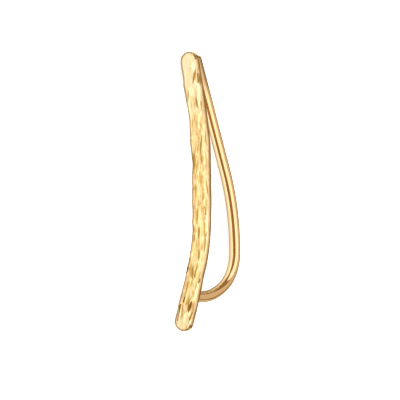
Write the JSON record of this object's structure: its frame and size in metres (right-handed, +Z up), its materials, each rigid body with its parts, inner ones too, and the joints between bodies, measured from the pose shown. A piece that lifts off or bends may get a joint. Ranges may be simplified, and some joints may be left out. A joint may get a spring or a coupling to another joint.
{
  "type": "ear climber",
  "caption": "Slim hammered strip with rounded ends and a gentle sideways bend, with a round spring wire soldered behind it that runs up the back of the ear.",
  "frame": {"origin": "middle of the outline, on the surface that the climber lies on", "axes": "+Z up from that surface; the strip runs along X with its upper end towards -X, its hammered front towards -Y and the wire behind it towards +Y; it lies on its hollow side, leaning about 7 degrees back on the wire's belly"},
  "size_m": [0.0226, 0.0068, 0.0032],
  "materials": {
    "gold": "polished yellow gold, hammered on the strip's front"
  },
  "bodies": {
    "root": {"climber": "gold"}
  },
  "joints": []
}
